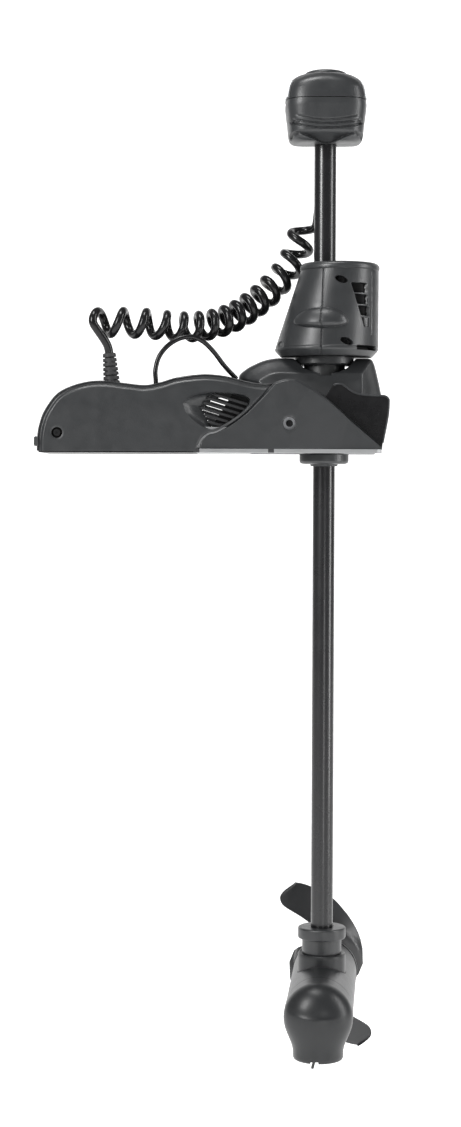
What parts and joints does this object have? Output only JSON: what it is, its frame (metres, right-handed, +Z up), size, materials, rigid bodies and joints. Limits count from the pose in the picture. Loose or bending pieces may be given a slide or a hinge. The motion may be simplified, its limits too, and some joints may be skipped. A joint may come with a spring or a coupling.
{
  "type": "trolling motor",
  "caption": "Electric bow-mount trolling motor: flat deck mount with a powered stow arm, steering and trim module, long shaft, control head, submerged motor and weedless propeller.",
  "frame": {"origin": "centre of the deck bolt pattern on the underside of the mount base", "axes": "+X towards the bow, +Y to port, +Z up along the deployed shaft"},
  "size_m": [0.485, 0.3903, 1.3837],
  "materials": {
    "moulded": "satin textured moulded plastic",
    "painted": "satin powder coat",
    "gloss_shaft": "gloss composite",
    "base_alloy": "satin anodised",
    "rubber": "matt",
    "steel": "zinc plated",
    "black_steel": "blackened steel",
    "window": "clear, lit from inside",
    "bearing_plastic": "self-lubricating polymer",
    "board": "lacquered circuit board",
    "copper": "enamelled winding",
    "ferrite": "sintered",
    "jacket": "gloss polyurethane cord jacket"
  },
  "bodies": {
    "base": {"base_plate": "base_alloy", "base_pads": "rubber", "starboard_side_cover": "moulded", "starboard_ramp_cover": "moulded", "port_side_cover": "moulded", "port_ramp_cover": "moulded", "deck_cover": "moulded", "vent_grilles": "moulded", "cover_screws": "black_steel", "indicator_lens": "window", "control_board": "board", "power_gland": "moulded", "cord_relief": "rubber", "pivot_brackets": "steel", "pivot_bushings": "bearing_plastic", "stow_gearmotor": "painted", "motor_lead": "jacket", "motor_lead_coil": "jacket", "motor_lead_tail": "jacket", "link_cable": "jacket"},
    "power_button": {"power_button": "moulded"},
    "stow_pinion": {"stow_pinion": "steel"},
    "tilt_arm": {"arm_frame": "painted", "pivot_pins": "steel", "tilt_sector": "steel", "arm_cover_starboard": "moulded", "arm_cover_port": "moulded", "steering_motor": "painted", "steering_bushing": "bearing_plastic", "lower_bushing": "moulded"},
    "steering_pinion": {"steering_pinion": "steel"},
    "trim_module": {"steering_spindle": "moulded", "steering_gear": "steel", "module_shell_aft": "moulded", "module_shell_fore": "moulded", "module_cap": "moulded", "module_screws": "black_steel", "lift_gearmotor": "painted"},
    "lift_gear": {"lift_gear": "steel"},
    "shaft": {"shaft_tube": "gloss_shaft", "lift_rack": "steel", "head_lower_shell": "moulded", "head_upper_shell": "moulded", "head_cap": "moulded", "head_windows": "window", "head_board": "board", "shaft_collar": "moulded", "motor_housing": "painted", "nose_cone": "moulded", "transducer": "moulded", "sensor_strip": "moulded", "end_bell": "painted", "field_magnets": "ferrite", "brush_plate": "copper", "motor_bearings": "steel"},
    "propeller": {"armature": "copper", "motor_shaft": "steel", "propeller": "moulded", "drive_pin": "steel", "prop_nut": "steel"}
  },
  "joints": [
    {"name": "power_button_press", "type": "slide", "parent": "base", "child": "power_button", "axis": [0, 0, -1], "range_m": [0, 0.0025], "stiffness_N_per_m": 800},
    {"name": "tilt", "type": "hinge", "parent": "base", "child": "tilt_arm", "pos_m": [0.106, 0, 0.07], "axis": [0, -1, 0], "range_deg": [0, 90], "deforming": ["motor_lead", "motor_lead_coil", "motor_lead_tail", "link_cable"]},
    {"name": "stow_pinion_spin", "type": "hinge", "parent": "base", "child": "stow_pinion", "pos_m": [0.07732, 0, 0.02904], "axis": [0, -1, 0], "range_deg": [-365, 5]},
    {"name": "steer", "type": "hinge", "parent": "tilt_arm", "child": "trim_module", "pos_m": [0.156, 0, 0.1], "axis": [0, 0, 1], "range_deg": [-180, 180]},
    {"name": "steering_pinion_spin", "type": "hinge", "parent": "tilt_arm", "child": "steering_pinion", "pos_m": [0.114, 0, 0.083], "axis": [0, 0, 1], "range_deg": [-580, 580]},
    {"name": "trim", "type": "slide", "parent": "trim_module", "child": "shaft", "axis": [0, 0, 1], "range_m": [-0.12, 0.59]},
    {"name": "lift_gear_spin", "type": "hinge", "parent": "trim_module", "child": "lift_gear", "pos_m": [0.156, 0.0248, 0.19], "axis": [1, 0, 0], "range_deg": [-2820, 575]},
    {"name": "propeller_spin", "type": "hinge", "parent": "shaft", "child": "propeller", "pos_m": [0.156, 0, -0.745], "axis": [0.075, 0.9972, 0], "continuous": true}
  ],
  "couplings": [
    {"joint": "stow_pinion_spin", "follows": "tilt", "ratio": -4},
    {"joint": "steering_pinion_spin", "follows": "steer", "ratio": -3.2},
    {"joint": "lift_gear_spin", "follows": "trim", "rad_per_m": -83.333}
  ]
}
